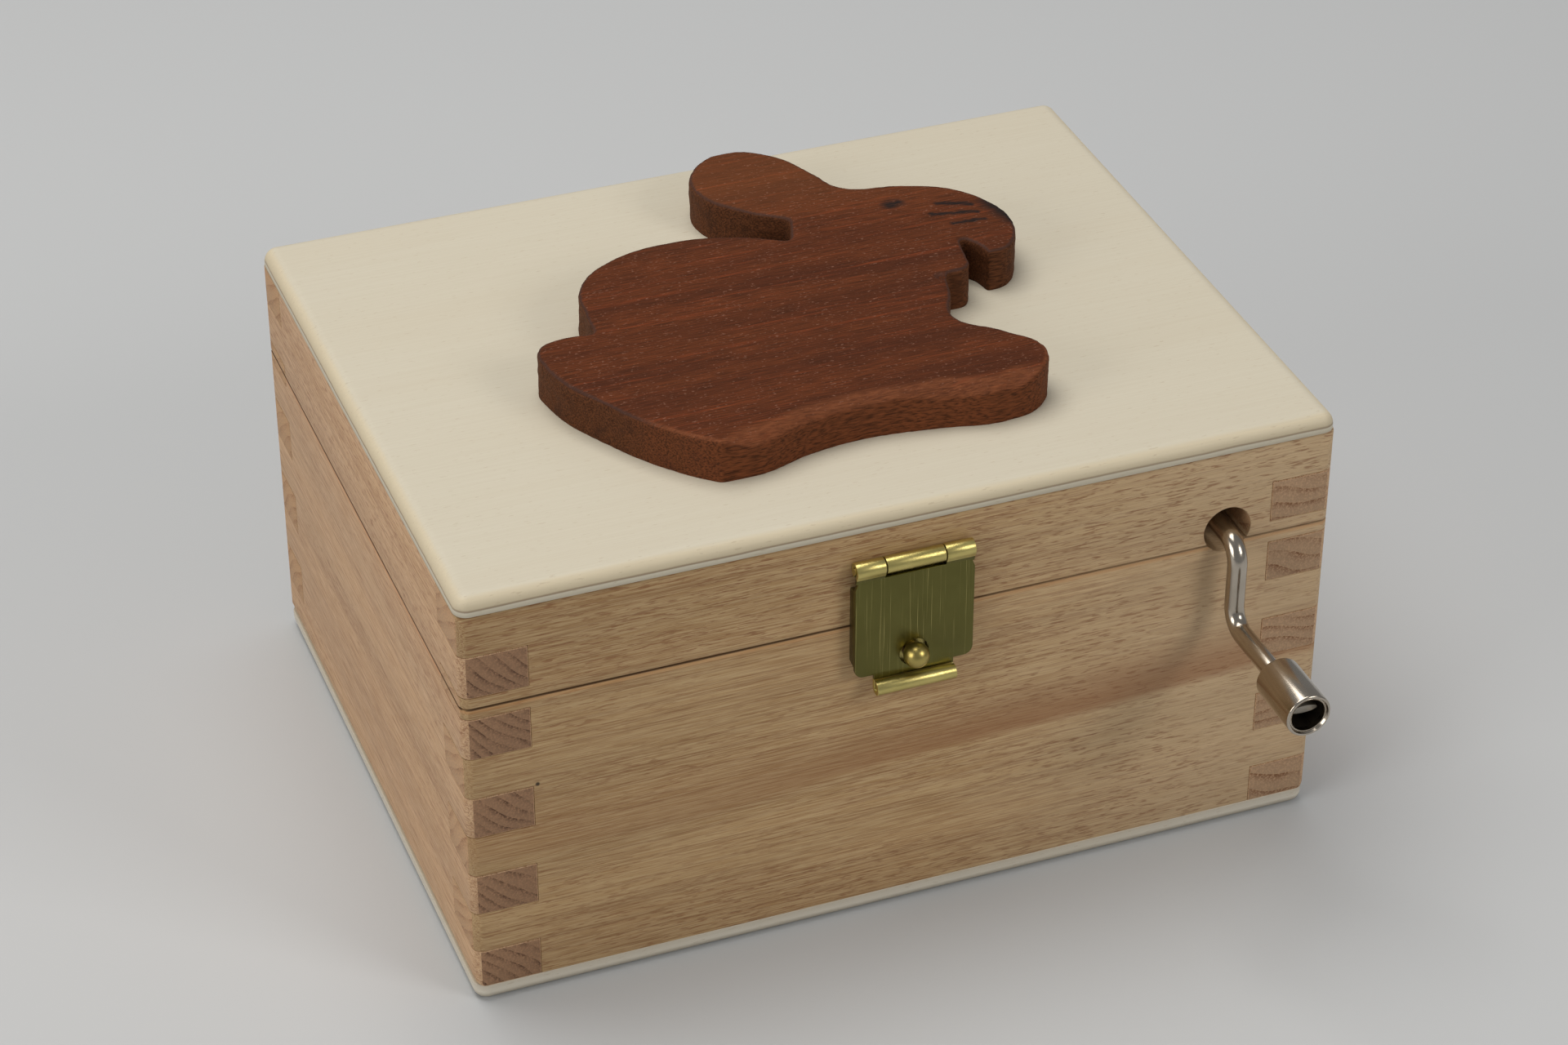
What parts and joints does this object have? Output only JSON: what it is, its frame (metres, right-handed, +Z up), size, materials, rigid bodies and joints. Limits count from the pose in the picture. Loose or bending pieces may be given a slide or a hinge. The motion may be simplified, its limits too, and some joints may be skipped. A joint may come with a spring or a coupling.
{
  "type": "hand-cranked music box",
  "caption": "Finger-jointed beech box with a hinged plywood lid, a flat wooden rabbit on top, a front hasp and a crank-driven pinned-cylinder music movement inside.",
  "frame": {"origin": "centre of the flat underside of the bottom panel", "axes": "+X to the right seen from the front, +Y to the back where the lid's hinges are, -Y to the front with the hasp and the crank, +Z up"},
  "size_m": [0.135, 0.1361, 0.079],
  "materials": {
    "beech": "sanded raw beech, fine flecks, darker end grain at the finger joints",
    "plywood": "pale raw plywood with rounded edges",
    "stained_wood": "red-brown stain on sawn wood, burnt marks",
    "brass": "brushed brass",
    "nickel": "bright nickel plate",
    "steel": "bright steel",
    "cast_zinc": "matt cast metal"
  },
  "bodies": {
    "base": {"base_front_board": "beech", "base_back_board": "beech", "base_left_board": "beech", "base_right_board": "beech", "bottom_panel": "plywood", "hinge_left_base_leaf": "brass", "hinge_left_pin": "brass", "hinge_right_base_leaf": "brass", "hinge_right_pin": "brass", "hinge_nail_1": "brass", "hinge_nail_2": "brass", "hinge_nail_5": "brass", "hinge_nail_6": "brass", "catch_plate": "brass", "catch_knob": "brass", "catch_nail_1": "brass", "catch_nail_2": "brass", "movement_bedplate": "cast_zinc", "cylinder_bracket_lower": "steel", "cylinder_bracket_upper": "steel", "bracket_screw_1": "steel", "bracket_screw_2": "steel", "movement_screw_1": "steel", "movement_screw_2": "steel", "movement_screw_3": "steel", "comb": "steel", "comb_screw_1": "steel", "comb_screw_2": "steel"},
    "lid": {"lid_front_board": "beech", "lid_back_board": "beech", "lid_left_board": "beech", "lid_right_board": "beech", "lid_panel": "plywood", "rabbit_figure": "stained_wood", "hinge_left_lid_leaf": "brass", "hinge_right_lid_leaf": "brass", "hinge_nail_3": "brass", "hinge_nail_4": "brass", "hinge_nail_7": "brass", "hinge_nail_8": "brass", "hasp_lid_leaf": "brass", "hasp_pin": "brass", "hasp_nail_1": "brass", "hasp_nail_2": "brass"},
    "hasp": {"hasp_flap": "brass"},
    "crank": {"crank_handle": "nickel", "crank_worm": "brass"},
    "knob": {"crank_knob": "nickel"},
    "cylinder": {"cylinder": "brass", "cylinder_gear": "brass", "cylinder_arbor": "steel"}
  },
  "joints": [
    {"name": "lid_hinge", "type": "hinge", "parent": "base", "child": "lid", "pos_m": [0, 0.0537, 0.0534], "axis": [-1, 0, 0], "range_deg": [0, 105]},
    {"name": "hasp_hinge", "type": "hinge", "parent": "lid", "child": "hasp", "pos_m": [-0.0002, -0.0535, 0.0638], "axis": [-1, 0, 0], "range_deg": [0, 150]},
    {"name": "crank_spin", "type": "hinge", "parent": "base", "child": "crank", "pos_m": [0.0503, -0.022, 0.0553], "axis": [0, 1, 0], "continuous": true},
    {"name": "knob_spin", "type": "hinge", "parent": "crank", "child": "knob", "pos_m": [0.0503, -0.0755, 0.0416], "axis": [0, 1, 0], "continuous": true},
    {"name": "cylinder_spin", "type": "hinge", "parent": "base", "child": "cylinder", "pos_m": [0.0411, -0.022, 0.0385], "axis": [0, 0, 1], "continuous": true}
  ],
  "couplings": [
    {"joint": "cylinder_spin", "follows": "crank_spin", "ratio": 0.05}
  ]
}
